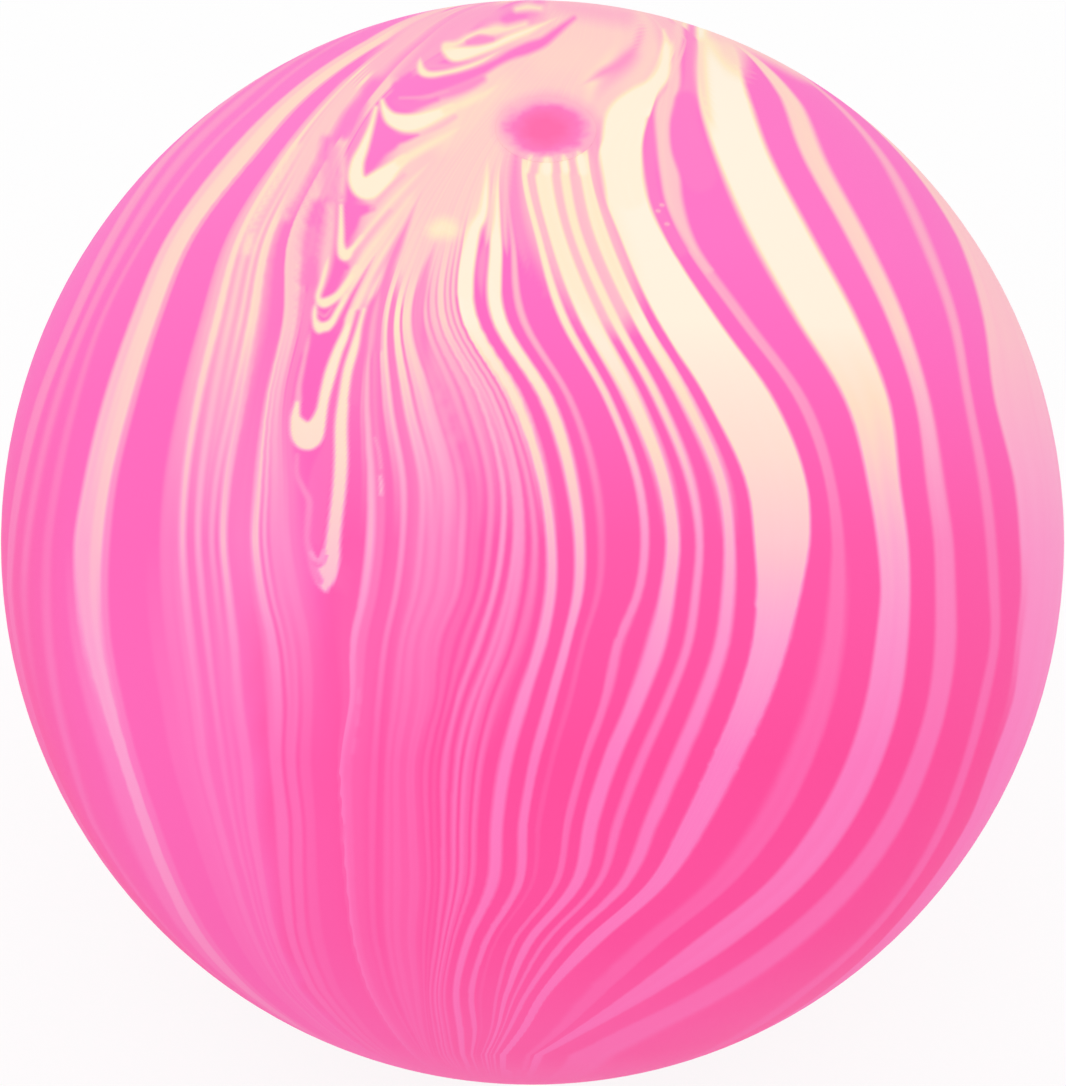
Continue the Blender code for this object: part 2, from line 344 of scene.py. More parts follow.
# Painted swirls
# Near the crown the colours fold over each other instead of flowing, so they are painted as strokes
# of a brush, each over the last: share of cream, edge softness, then column, row and half width.
PINK = 0.0
LILAC = 0.2
PALE = 0.4
PEACH = 0.66
CREAM = 0.95
CROWN_STROKES = (
    # Peach that spreads from the rim, round the stopper and down between the tongues.
    (PEACH, 40, (
        (640, 12, 22), (600, 30, 34), (560, 55, 42), (515, 88, 44), (475, 130, 50), (450, 180, 48),
        (432, 225, 34), (415, 265, 20),
    )),
    (0.62, 24, (
        (440, 128, 26), (405, 172, 24), (385, 215, 24), (370, 252, 18), (358, 285, 12), (348, 315, 7),
    )),
    (PEACH, 24, (
        (560, 8, 14), (600, 20, 22), (635, 30, 20), (650, 52, 16), (642, 76, 18), (612, 100, 18),
        (590, 118, 12),
    )),
    (0.64, 22, ((530, 58, 18), (556, 82, 18), (578, 96, 14))),
    (PALE, 20, ((560, 6, 8), (590, 10, 10), (625, 16, 10))),
    (0.72, 26, ((500, 84, 8), (470, 112, 12), (445, 138, 14))),
    (0.68, 24, ((545, 60, 14), (580, 55, 12))),
    (0.7, 16, ((412, 205, 8), (408, 240, 8), (405, 275, 6), (404, 300, 3))),
    # The trunk that the fan grows from.
    (0.6, 14, (
        (350, 90, 8), (335, 110, 9), (318, 135, 10), (305, 160, 9), (297, 180, 8), (290, 200, 6),
        (285, 215, 4),
    )),
    (0.78, 10, (
        (296, 145, 3), (286, 160, 4), (275, 182, 4), (263, 205, 5), (252, 228, 5), (247, 250, 5),
    )),
    (0.5, 9, ((283, 183, 1), (272, 200, 2), (262, 216, 2), (250, 234, 1))),
    # Lilac and pink left of the tongues, up to the rim.
    (0.45, 16, ((440, 14, 6), (415, 30, 10), (395, 48, 10), (378, 66, 10))),
    (0.26, 16, ((490, 10, 10), (465, 20, 12), (445, 34, 12), (425, 52, 9), (410, 66, 7), (400, 76, 6))),
    (0.3, 14, ((333, 150, 7), (330, 170, 8), (328, 192, 7))),
    (0.55, 9, ((343, 150, 2), (343, 175, 3), (341, 200, 3))),
    (0.05, 10, ((362, 104, 5), (352, 118, 9), (345, 132, 8))),
    (0.05, 9, ((326, 140, 4), (324, 156, 4))),
    (LILAC, 9, ((322, 154, 2), (316, 170, 2), (308, 187, 2), (300, 200, 3), (291, 212, 4))),
    (0.06, 10, ((318, 206, 7), (313, 222, 8))),
    (0.16, 12, ((311, 236, 9), (309, 252, 8))),
    (0.1, 10, ((311, 264, 8), (308, 280, 8))),
    (0.18, 10, ((305, 296, 5), (305, 320, 5), (304, 348, 5))),
    (0.56, 10, ((331, 206, 4), (330, 230, 5), (327, 252, 6), (324, 276, 4), (321, 300, -3))),
    # Islands under the rim.
    (PINK, 7, ((504, 19, 3), (512, 17, 5), (524, 17, 3))),
    (0.8, 8, ((517, 9, 3), (528, 7, 4), (540, 8, 3))),
    (0.82, 10, ((484, 33, 4), (496, 30, 6), (508, 29, 4), (525, 24, 3))),
    # First tongue, with a pink island in it.
    (CREAM, 7, (
        (448, 50, 6), (455, 54, 8), (466, 53, 7), (480, 50, 5), (495, 45, 4), (510, 38, 4), (530, 30, 3),
        (550, 21, 0), (566, 13, -4),
    )),
    (0.85, 7, ((446, 46, 4), (458, 43, 3), (470, 36, 3), (484, 31, 2), (500, 27, -4))),
    (0.12, 6, ((468, 42, 2), (481, 39, 4), (492, 39, 2))),
    # Thin tongue round it.
    (LILAC, 6, ((430, 66, 3), (437, 66, 3), (450, 66, 2), (468, 63, 1))),
    (0.9, 6, (
        (421, 54, -3), (420, 63, 2), (422, 71, 4), (430, 75, 4), (445, 73, 3), (462, 69, 3), (480, 62, 2),
        (496, 53, 0), (512, 44, -3),
    )),
    # Large pink fold, whose right arm runs up to the rim.
    (PINK, 7, (
        (398, 87, 6), (412, 86, 9), (432, 86, 8), (450, 82, 7), (468, 76, 6), (482, 70, 5), (497, 62, 4),
        (512, 54, 5), (528, 48, 6), (543, 42, 5), (556, 32, 4), (566, 24, 3), (574, 18, 2),
    )),
    (PINK, 7, ((404, 80, 4), (410, 75, 3))),
    (0.15, 8, ((438, 96, 4), (455, 91, 5), (470, 85, 5), (482, 79, 4))),
    (0.03, 7, ((396, 102, 3), (406, 106, 5), (420, 104, 4), (436, 99, 3))),
    (0.25, 5, ((400, 98, 1), (425, 97, 1.5), (448, 91, 1))),
    # Second tongue, and the pink pocket under it.
    (CREAM, 6, (
        (382, 101, 2), (385, 110, 4), (392, 119, 7), (405, 123, 9), (420, 121, 8), (436, 115, 6),
        (452, 108, 4),
    )),
    (0.85, 8, ((446, 110, 4), (470, 101, 4), (488, 92, 2), (506, 80, -4))),
    (0.5, 6, ((455, 117, 2), (440, 126, 2), (422, 134, 1.5))),
    (PINK, 6, ((383, 136, 4), (392, 141, 7), (382, 150, 6), (376, 160, 4), (371, 168, 2))),
    (PINK, 6, ((392, 139, 6), (405, 138, 4), (418, 135, 1))),
    # Third tongue, and its pocket.
    (CREAM, 6, (
        (376, 108, 2), (371, 126, 3), (364, 146, 5), (357, 164, 7), (357, 180, 9), (367, 188, 12),
        (382, 178, 10), (392, 169, 7), (404, 159, 4),
    )),
    (0.85, 8, ((400, 162, 4), (420, 150, 4), (440, 139, 3), (456, 130, 0), (470, 121, -4))),
    (PINK, 6, ((350, 208, 4), (359, 210, 6), (372, 208, 3))),
    (PINK, 6, ((355, 214, 6), (352, 226, 5), (347, 240, 1.5))),
    # Fourth tongue, and its pocket.
    (0.9, 5, ((341, 206, 2), (341, 228, 3), (341, 246, 4), (345, 255, 6), (352, 249, 3), (362, 237, 2))),
    (0.82, 8, (
        (358, 242, 1.5), (375, 221, 2), (390, 203, 2), (406, 186, 1.5), (422, 170, 0), (438, 154, -4),
    )),
    (0.4, 8, ((372, 208, 2), (388, 190, 1.5), (404, 175, 1))),
    (0.4, 8, ((352, 262, 1), (362, 246, 1.5), (374, 230, 1.5), (390, 211, 1))),
    (PINK, 5, ((339, 266, 4), (346, 267, 3))),
    (PINK, 5, ((339, 271, 5), (333, 284, 3.5), (326, 295, 1.5))),
    # Fifth and sixth tongues.
    (0.88, 5, (
        (331, 248, -3), (327, 264, 1.5), (322, 282, 2.5), (318, 297, 3), (324, 303, 5), (337, 296, 4),
        (347, 284, 4), (357, 269, 4),
    )),
    (0.8, 8, ((355, 272, 3), (368, 252, 3), (380, 237, 3), (396, 216, 2), (412, 195, 0), (428, 174, -4))),
    (0.45, 6, ((319, 312, 0), (325, 316, 0.5), (332, 308, 0))),
    (0.9, 5, (
        (317, 296, -3), (315, 308, 2), (315, 320, 3), (321, 328, 6), (331, 323, 4), (338, 311, 3),
        (346, 297, 3),
    )),
    (0.8, 8, (
        (344, 300, 2.5), (356, 281, 2.5), (368, 262, 2), (384, 240, 1), (400, 217, -1), (412, 200, -4),
    )),
    # Long pink pocket with its line up, and the tongue round it.
    (PINK, 6, (
        (326, 340, 8), (320, 352, 11), (314, 372, 9.5), (309, 392, 7), (306, 406, 4), (304, 420, 1),
    )),
    (0.02, 5, (
        (338, 330, 4), (344, 315, 3), (351, 299, 2.5), (360, 282, 1.5), (370, 264, 0), (382, 244, -3),
    )),
    (0.45, 5, ((312, 322, -3), (308, 341, 1), (303, 365, 2), (299, 385, 2.5), (298, 400, 3.5))),
    (0.92, 5, (
        (297, 404, 3), (296, 420, 6), (306, 436, 14), (316, 428, 10), (322, 412, 6.5), (326, 392, 6),
        (331, 372, 6), (338, 351, 5), (346, 333, 4.5), (353, 313, 4),
    )),
    (0.8, 8, (
        (350, 320, 4), (361, 296, 4), (370, 277, 3), (380, 258, 3), (394, 236, 1.5), (408, 213, -1),
        (420, 194, -4),
    )),
    # Pink between the two long tongues.
    (0.07, 5, (
        (358, 312, 2), (353, 330, 2), (350, 345, 2.5), (345, 362, 3), (338, 382, 3), (333, 402, 4),
        (330, 424, 4), (328, 445, 5), (322, 470, 10), (318, 495, 11), (317, 520, 9), (317, 545, 5),
    )),
    # Longest tongue, a thin left arm and a broad right one.
    (0.9, 5, (
        (365, 310, 3), (360, 328, 3.5), (355, 348, 5), (348, 370, 5), (344, 395, 5.5), (341, 425, 6.5),
        (341, 460, 7), (339, 490, 7), (336, 515, 7), (333, 540, 7.5), (331, 558, 9), (326, 574, 11),
        (325, 584, 6), (326, 591, 1.5),
    )),
    (0.78, 8, ((368, 304, 3), (373, 290, 3), (384, 270, 2), (395, 251, 0), (406, 231, -4))),
    (0.32, 5, (
        (297, 455, 1.5), (297, 474, 2), (303, 488, 2.5), (309, 501, 3), (308, 520, 3), (307, 540, 3),
        (311, 556, 4), (314, 570, 4), (319, 581, 4),
    )),
    (0.03, 4, ((315, 546, 2), (318, 553, 2), (321, 546, 2))),
    (0.6, 4, ((311, 553, 2), (315, 559, 2), (320, 559, 2), (324, 551, 2))),
    (0.2, 4, ((312, 562, 1), (317, 566, 1.5), (322, 564, 1.5), (326, 556, 1))),
    # Pink and pale lines right of the longest tongue.
    (0.1, 6, (
        (387, 272, -3), (377, 296, 2), (372, 306, 4), (367, 325, 4.5), (364, 346, 4.5), (358, 375, 5),
        (354, 400, 5),
    )),
    (0.15, 7, (
        (428, 180, -4), (414, 208, 0), (406, 227, 2), (398, 246, 4), (391, 263, 4), (385, 285, 4),
        (380, 306, 4), (378, 326, 4), (377, 348, 4),
    )),
    (PALE, 5, ((383, 280, -3), (378, 301, 1), (374, 320, 2), (371, 345, 2), (370, 370, -3))),
    (0.22, 7, (
        (441, 226, -4), (433, 250, 0), (426, 270, 3), (421, 292, 5), (417, 312, 5), (417, 332, 4.5),
        (420, 350, 3), (424, 366, 1),
    )),
    (0.75, 4, ((380, 476, 1), (381, 484, 1.5), (381, 494, 1.5))),
    (0.45, 4, ((375, 438, 1), (379, 452, 1), (381, 468, 1))),
    # Heads of the first two middle streaks.
    (0.97, 7, (
        (488, 148, -4), (487, 168, 0), (486, 190, 3), (483, 214, 5), (475, 229, 6), (470, 250, 6.5),
        (466, 272, 7), (465, 292, 7),
    )),
    (0.97, 6, (
        (499, 158, -3), (498, 184, 0), (497, 214, 2.5), (495, 236, 4), (496, 254, 5), (496, 272, 5),
        (497, 290, 3), (498, 306, -3),
    )),
    (0.22, 7, ((489, 232, -2), (485, 246, 2), (482, 264, 4), (481, 285, 2), (483, 312, -5))),
    (0.7, 7, ((493, 196, 1), (491, 214, 3), (489, 228, 3), (487, 240, 1), (485, 252, -4))),
    (0.5, 9, ((507, 150, 2), (506, 175, 4), (505, 205, 4), (505, 230, 3), (506, 246, 1), (508, 262, -5))),
    (0.16, 9, (
        (516, 154, 3), (514, 185, 4), (515, 214, 5), (520, 240, 5), (526, 262, 2), (533, 288, -6),
    )),
    (0.9, 16, ((436, 230, 8), (444, 228, 10), (450, 230, 8))),
    # Head of the first broad band, and the peach streak and pink column right of it.
    (0.5, 12, ((648, 8, 6), (662, 20, 8), (674, 36, 7))),
    (0.97, 8, (
        (664, 30, 0), (666, 55, 5), (664, 72, 8), (653, 87, 9), (638, 100, 13), (625, 118, 19),
        (621, 140, 20), (623, 165, 20), (628, 190, 20),
    )),
    (0.6, 8, (
        (679, 22, 5), (678, 40, 5), (676, 58, 4), (674, 85, 6), (665, 105, 9), (662, 126, 7),
        (664, 150, 7), (670, 175, 9), (674, 200, 8), (684, 228, 5), (696, 252, 3), (708, 270, 2.5),
    )),
    (0.05, 8, (
        (650, 120, 2), (650, 140, 5), (650, 160, 6), (651, 180, 6), (657, 205, 6), (668, 228, 6),
        (681, 250, 6),
    )),
    (0.12, 8, ((692, 22, 4), (691, 36, 5), (691, 60, 6), (690, 85, 7), (686, 100, 10))),
    (0.03, 8, ((686, 102, 11), (685, 125, 14), (690, 150, 17), (700, 175, 17))),
    (0.72, 14, ((701, 44, 3), (701, 70, 4), (704, 96, 3), (709, 120, 1), (716, 146, -6))),
    # Peach along the rim, over the heads of the second broad band and the strip right of it.
    (0.72, 22, ((718, 36, 10), (730, 50, 12), (738, 66, 6), (746, 84, -8))),
    (0.62, 12, ((712, 33, 4), (735, 41, 5), (757, 51, 5), (778, 62, 4), (800, 76, 2), (822, 91, -5))),
    (0.55, 4, ((657, 211, 1), (659, 211, 1))),
    (0.55, 4, ((661, 205, 1), (663, 205, 1))),
    (0.55, 4, ((666, 224, 1), (668, 224, 1))),
    (0.5, 5, ((699, 257, 1), (706, 266, 1.5), (712, 270, 1))),
    # Pink round the stopper, the line that runs down from it, and a wisp above it.
    (0.4, 16, ((521, 126, 25), (547, 126, 34), (573, 126, 25))),
    # Tops of the middle streaks, which run in under the rim of the stopper's glue.
    (0.5, 6, ((535, 171, 3), (537, 158, 2.5), (539, 146, 0))),
    (0.5, 6, ((558, 171, 2.5), (556, 158, 2.5), (555, 146, 0))),
    (0.48, 6, ((574, 171, 3), (571, 157, 3), (569, 146, 0))),
    (0.95, 6, ((527, 171, 2), (530, 157, 2), (533, 147, -3))),
    (0.97, 6, ((547, 170, 5), (547, 158, 4.5), (547, 147, -3))),
    (0.97, 6, ((566, 170, 3.5), (564, 158, 3), (562, 147, -3))),
    (0.97, 6, ((583, 171, 4.5), (580, 157, 4), (577, 146, -3))),
    (0.2, 9, ((574, 138, 6), (588, 132, 2))),
    (0.36, 8, ((582, 138, 4), (592, 148, 4), (597, 165, 3), (602, 195, 3), (610, 225, -4))),
    (LILAC, 10, (
        (578, 87, -5), (590, 80, 0), (602, 73, 3.5), (614, 67, 3.5), (626, 58, 3), (636, 46, 2),
        (641, 30, 1), (643, 16, -5),
    )),
    # Small pale smears on the seam.
    (0.38, 5, ((358, 690, 2), (358, 702, 2))),
    (0.34, 5, ((356, 712, 1.5), (357, 724, 2))),
    (0.36, 5, ((355, 740, 1.5), (353, 752, 1.5))),
    (0.25, 5, ((349, 766, 2), (347, 778, 1.5))),
    (0.2, 5, ((343, 826, 1.5), (342, 840, 1.5))),
)
# Thin veils of cream under the strokes, which even out the streaks below the stopper and the seam.
CROWN_VEILS = (
    (0.86, 30, (
        (558, 148, 40), (564, 200, 44), (580, 245, 42), (598, 280, 36), (612, 310, 22), (624, 340, -15),
    )),
    (0.5, 24, (
        (428, 320, -10), (434, 360, 5), (442, 395, 7), (452, 430, 4), (462, 465, -4), (468, 495, -14),
    )),
)
VEIL_SHARE = 0.62
STROKE_STEPS = 6
FARTHEST_STROKE = -0.7
TINY = 1e-6


def eased(share):
    """A share held between 0 and 1, with a soft start and end."""
    share = np.clip(share, 0, 1)
    return share * share * (3 - 2 * share)


def painted(points, strokes, margin=0):
    """Cream laid on by strokes, which a margin widens, and how far they cover the flowing streaks."""
    # Past the rim the photo goes on as if the ball were unrolled, so that strokes end softly there.
    depth = points @ towards_eye
    columns, rows = photo_place(points - 2 * np.minimum(depth, 0)[:, None] * towards_eye)
    width = np.sqrt(np.maximum(1 - depth**2, TINY))
    unrolled = np.where(depth < 0, (2 - width) / width, 1)
    columns = PHOTO_WIDTH / 2 + (columns - PHOTO_WIDTH / 2) * unrolled
    rows = PHOTO_HEIGHT / 2 + (rows - PHOTO_HEIGHT / 2) * unrolled
    cream_laid = np.zeros(len(points))
    cover = np.zeros(len(points))
    for cream, softness, stations in strokes:
        stations = np.array(stations, float)
        fine = np.linspace(0, len(stations) - 1, (len(stations) - 1) * STROKE_STEPS + 1)
        line = np.array([smooth_curve(np.arange(len(stations)), part, fine) for part in stations.T]).T
        line[:, 2] += margin
        reach = line[:, 2].max() + softness
        near = np.flatnonzero(
            (depth > FARTHEST_STROKE)
            & (columns > line[:, 0].min() - reach)
            & (columns < line[:, 0].max() + reach)
            & (rows > line[:, 1].min() - reach)
            & (rows < line[:, 1].max() + reach)
        )
        place = np.stack([columns[near], rows[near]], -1)
        inside = np.full(len(near), -np.inf)
        for start, end in zip(line[:-1], line[1:]):
            run = end[:2] - start[:2]
            t = np.clip((place - start[:2]) @ run / (run @ run), 0, 1)
            gap = np.linalg.norm(place - start[:2] - t[:, None] * run, axis=-1)
            inside = np.maximum(inside, start[2] + t * (end[2] - start[2]) - gap)
        share = eased(0.5 + inside / softness)
        cream_laid[near] = cream_laid[near] * (1 - share) + cream * share
        cover[near] = 1 - (1 - cover[near]) * (1 - share)
    return cream_laid, cover


# Skin mesh
# The wall's section is drawn point by point and spun about the ball's axis, then cut finer where the
# swirls need it.
SKIN_WALL = 2.2 * MM
BOSS_RADIUS = 7.0 * MM
BOSS_FACE_Z = 64.86 * MM
BOSS_FILLET = 1.4 * MM
BOSS_EDGE = 0.6 * MM
BORE_RADIUS = 1.8 * MM
SEAT_RADIUS = 2.82 * MM
SEAT_Z = 69.35 * MM
LIP_RADIUS = 0.4 * MM
OUTER_RINGS = 128
INNER_RINGS = 24
ARC_STEPS = 6
SKIN_STEPS = 160
MERGE_GAP = 0.001 * MM
SHARP_ANGLE = math.radians(40)


def side_arc(radius, rise, start, end, rings):
    """Points down the side of a spheroid about the ball's centre, between two angles from the crown."""
    angles = [start + (end - start) * ring / rings for ring in range(rings + 1)]
    return [(radius * math.sin(angle), CENTRE_Z + rise * math.cos(angle)) for angle in angles]


def corner_arc(x, z, radius, start_degrees, end_degrees):
    """Points round a corner, about a centre."""
    points = []
    for step in range(ARC_STEPS + 1):
        angle = math.radians(start_degrees + (end_degrees - start_degrees) * step / ARC_STEPS)
        points.append((x + radius * math.cos(angle), z + radius * math.sin(angle)))
    return points


def inside_line(inset):
    """The hollow's section from the boss's face down to the base, moved in by an inset."""
    radius = OUTER_RADIUS - SKIN_WALL - inset
    rise = OUTER_RISE - SKIN_WALL - inset
    floor_z = SKIN_WALL + inset
    edge = BOSS_EDGE + inset
    fillet = BOSS_FILLET - inset
    root_x = BOSS_RADIUS + BOSS_FILLET
    root_z = CENTRE_Z + rise * math.sqrt(1 - (root_x / radius) ** 2)
    corner = corner_arc(BOSS_RADIUS + inset - edge, BOSS_FACE_Z - inset + edge, edge, -90, 0)
    root = corner_arc(root_x, root_z - fillet, fillet, 180, 90)
    floor_angle = math.acos((floor_z - CENTRE_Z) / rise)
    side = side_arc(radius, rise, math.asin(root_x / radius), floor_angle, INNER_RINGS)
    return corner + root + side[1:] + [(0, floor_z)]


def turned_piece(name, section, steps):
    """A piece turned about the ball's axis: a point is drawn along its section, then spun."""
    bpy.ops.object.select_all(action="DESELECT")
    bpy.context.tool_settings.mesh_select_mode = (True, False, False)
    bpy.ops.mesh.primitive_plane_add(size=MM)
    piece = bpy.context.object
    piece.name = name
    piece.data.name = name
    bpy.ops.object.mode_set(mode="EDIT")
    bpy.ops.mesh.merge(type="CENTER")
    bpy.ops.transform.translate(value=(section[0][0], 0, section[0][1]))
    for (start_x, start_z), (end_x, end_z) in zip(section, section[1:]):
        move = (end_x - start_x, 0, end_z - start_z)
        bpy.ops.mesh.extrude_region_move(TRANSFORM_OT_translate={"value": move})
    bpy.ops.mesh.select_all(action="SELECT")
    bpy.ops.mesh.spin(steps=steps, angle=2 * math.pi, center=(0, 0, 0), axis=(0, 0, 1))
    bpy.ops.mesh.select_all(action="SELECT")
    bpy.ops.mesh.remove_doubles(threshold=MERGE_GAP)
    bpy.ops.mesh.normals_make_consistent(inside=False)
    bpy.ops.object.mode_set(mode="OBJECT")
    return piece


lip_x = SEAT_RADIUS + LIP_RADIUS
lip_z = CENTRE_Z + OUTER_RISE * math.sqrt(1 - (lip_x / OUTER_RADIUS) ** 2)
hole = [(BORE_RADIUS, BOSS_FACE_Z), (BORE_RADIUS, SEAT_Z), (SEAT_RADIUS, SEAT_Z)]
lip = corner_arc(lip_x, lip_z - LIP_RADIUS, LIP_RADIUS, 180, 90)
base_angle = math.acos(-CENTRE_Z / OUTER_RISE)
outside = side_arc(OUTER_RADIUS, OUTER_RISE, math.asin(lip_x / OUTER_RADIUS), base_angle, OUTER_RINGS)
skin_section = inside_line(0)[::-1] + hole + lip + outside[1:] + [(0, 0)]
skin = turned_piece("marbled_skin", skin_section, SKIN_STEPS)


def mesh_array(items, field, width):
    """One field of every item of a mesh, as rows of numbers."""
    values = np.empty(len(items) * width)
    items.foreach_get(field, values)
    return values.reshape(-1, width)


# The outer face: how near to the full ball, how high above the flat base and how far out from the lip.
OUTSIDE_SHARE = 0.985
BASE_CLEAR = 0.01 * MM
LIP_SHARE = 0.99


def on_outside(points):
    """Which points lie on the ball's outer face, as far as the lip and the flat base."""
    size = np.linalg.norm((points - ball_centre) / ball_semi, axis=-1)
    from_axis = np.hypot(points[:, 0], points[:, 1])
    return (size > OUTSIDE_SHARE) & (points[:, 2] > BASE_CLEAR) & (from_axis > lip_x * LIP_SHARE)


def unit_points(points):
    """Points pushed out from the ball's centre to the unit ball."""
    scaled = (points - ball_centre) / ball_semi
    return scaled / np.maximum(np.linalg.norm(scaled, axis=-1, keepdims=True), TINY)


def corner_links(mesh):
    """The point and the face of every corner of a mesh's faces."""
    points = np.empty(len(mesh.loops), int)
    mesh.loops.foreach_get("vertex_index", points)
    sizes = mesh_array(mesh.polygons, "loop_total", 1)[:, 0].astype(int)
    return points, np.repeat(np.arange(len(sizes)), sizes)


# Round both poles the streaks run together: degrees from the pole, outside and inside, and cream.
POLE_WASHES = ((top_pole, 24, 10, 0.42), (base_pole, 34, 20, 0.28))
# Faces are cut finer along the edges of fine strokes, and where the width marks bend inside a face.
# For each round of cuts: the softest edge that is cut, a margin in photo pixels and the cuts a side.
SWIRL_CUTS = ((20, 7, 1), (9, 3, 2))
BENT_MARKS = 1.2
for softest_edge, margin, cuts in SWIRL_CUTS:
    face_centres = mesh_array(skin.data.polygons, "center", 3)
    face_units = unit_points(face_centres)
    swirled = np.zeros(len(face_centres), bool)
    for stroke in CROWN_STROKES:
        if stroke[1] < softest_edge:
            touched = painted(face_units, [stroke], margin)[1] > 0
            filled = painted(face_units, [stroke], -margin)[1] == 1
            swirled |= touched & ~filled
    corner_points, corner_faces = corner_links(skin.data)
    corner_marks = width_mark(unit_points(mesh_array(skin.data.vertices, "co", 3)))[corner_points]
    mean_marks = np.bincount(corner_faces, corner_marks) / np.bincount(corner_faces)
    bend = np.abs(width_mark(face_units) - mean_marks)
    off_poles = np.ones(len(face_centres), bool)
    for pole, start, end, cream in POLE_WASHES:
        off_poles &= face_units @ pole < math.cos(math.radians((start + end) / 2))
    swirled |= (bend > BENT_MARKS) & (bend < BACK_MARKS / 2) & off_poles
    swirled &= on_outside(face_centres)
    bpy.context.tool_settings.mesh_select_mode = (False, False, True)
    bpy.ops.object.mode_set(mode="EDIT")
    bpy.ops.mesh.select_all(action="DESELECT")
    bpy.ops.object.mode_set(mode="OBJECT")
    skin.data.polygons.foreach_set("select", swirled)
    bpy.ops.object.mode_set(mode="EDIT")
    bpy.ops.mesh.subdivide(number_cuts=cuts)
    bpy.ops.object.mode_set(mode="OBJECT")
skin_points = mesh_array(skin.data.vertices, "co", 3)
proud = on_outside(skin_points)
skin_points[proud] = ball_centre + ball_semi * unit_points(skin_points[proud])
skin.data.vertices.foreach_set("co", skin_points.ravel())
bpy.ops.object.shade_smooth_by_angle(angle=SHARP_ANGLE)

# The pattern goes on the mesh: a map of width mark and height for the streaks, and the brush strokes.
skin_units = unit_points(skin_points)
marks = width_mark(skin_units)
heights = skin_units @ eye_up
corner_points, corner_faces = corner_links(skin.data)
corner_marks = marks[corner_points]
ALL_MARKS = PHOTO_WIDTH + 2 * BACK_MARKS
lowest = np.full(len(skin.data.polygons), np.inf)
highest = np.full(len(skin.data.polygons), -np.inf)
np.minimum.at(lowest, corner_faces, corner_marks)
np.maximum.at(highest, corner_faces, corner_marks)
over_seam = (highest - lowest > ALL_MARKS / 2)[corner_faces]
over_seam &= corner_marks < PHOTO_WIDTH / 2
corner_marks = np.where(over_seam, corner_marks + ALL_MARKS, corner_marks)
flow_map = skin.data.uv_layers.new(name="flow")
flow_places = np.stack([corner_marks / PHOTO_WIDTH, heights[corner_points]], -1)
flow_map.data.foreach_set("uv", flow_places.ravel())


def row_height(row):
    """Height on the unit ball, up the photo, of the middle of a photo row."""
    return float(ball_under([PHOTO_WIDTH / 2], [row])[0] @ eye_up)


def smooth_step(values, start, end):
    """A smooth rise from 0 at the start to 1 at the end."""
    return eased((values - start) / (end - start))


cream_laid, stroke_cover = painted(skin_units, CROWN_STROKES)
veil_laid, veil_cover = painted(skin_units, CROWN_VEILS)
cream_laid += VEIL_SHARE * veil_laid * (1 - stroke_cover)
stroke_cover = 1 - (1 - stroke_cover) * (1 - VEIL_SHARE * veil_cover)
for pole, start, end, cream in POLE_WASHES:
    share = smooth_step(skin_units @ pole, math.cos(math.radians(start)), math.cos(math.radians(end)))
    cream_laid += cream * share * (1 - stroke_cover)
    stroke_cover = 1 - (1 - stroke_cover) * (1 - share)
# The pink is warmer right of the seam, in the rubber itself. Low down left of the seam and towards the
# left rim it deepens to the same warmer pink as painted shade, where the ball turns away from the light.
SEAM_MARKS = (300, 345)
SEAM_WARMTH = 0.7
MIDDLE_MARK = 620
MIDDLE_WARMTH = 0.3
LEFT_RIM_SHADE_MARKS = (75, 15)
LEFT_RIM_SHADE = 0.6
LOW_SHADE_MARKS = (226, 244)
LOW_SHADE_ROWS = (560, 660)
LOW_SHADE = 0.55
past_seam = smooth_step(marks, *SEAM_MARKS)
low_shade_share = smooth_step(heights, *[row_height(row) for row in LOW_SHADE_ROWS])
warmth_and_shade = SEAM_WARMTH * past_seam + MIDDLE_WARMTH * smooth_step(marks, SEAM_MARKS[1], MIDDLE_MARK)
warmth_and_shade += LEFT_RIM_SHADE * smooth_step(marks, *LEFT_RIM_SHADE_MARKS)
warmth_and_shade += LOW_SHADE * low_shade_share * smooth_step(marks, *LOW_SHADE_MARKS) * (1 - past_seam)
for name, values in (("cream_laid", cream_laid), ("stroke_cover", stroke_cover), ("warmth_and_shade", warmth_and_shade)):
    skin.data.attributes.new(name, "FLOAT", "POINT").data.foreach_set("value", values)


def linear(hex_colour):
    """A linear colour from an sRGB hex value."""
    parts = [int(hex_colour[place : place + 2], 16) / 255 for place in (1, 3, 5)]
    return [part / 12.92 if part <= 0.04045 else ((part + 0.055) / 1.055) ** 2.4 for part in parts] + [1]


def fill_inputs(tree, node, inputs):
    """Sets a node's inputs, each to a number, a colour, a socket or a node, for its first output."""
    for name, value in inputs.items():
        if isinstance(value, bpy.types.Node):
            value = value.outputs[0]
        if isinstance(value, bpy.types.NodeSocket):
            tree.links.new(value, node.inputs[name])
        else:
            node.inputs[name].default_value = value


def add_node(tree, kind, inputs, **settings):
    """A node of a kind, with its inputs and its settings."""
    node = tree.nodes.new("ShaderNode" + kind)
    for name, value in settings.items():
        setattr(node, name, value)
    fill_inputs(tree, node, inputs)
    return node


def new_material(name):
    """A material that uses nodes, with its node tree and its shader."""
    material = bpy.data.materials.new(name)
    material.use_nodes = True
    return material, material.node_tree, material.node_tree.nodes["Principled BSDF"]


def fill_ramp(ramp, stops):
    """Sets a ramp's stops, each a place from 0 to 1 and a linear colour."""
    while len(ramp.elements) < len(stops):
        ramp.elements.new(1)
    for element, (place, colour) in zip(ramp.elements, stops):
        element.position = place
        element.color = colour


# Marbled thermoplastic rubber, moulded: satin, with a fine grain from the mould.
skin_rubber, tree, shader = new_material("marbled_thermoplastic_rubber")
flow = add_node(tree, "UVMap", {}, uv_map="flow")
flow_parts = add_node(tree, "SeparateXYZ", {"Vector": flow})
STREAKS_A_RAMP = 7
STOPS_APART = 0.98


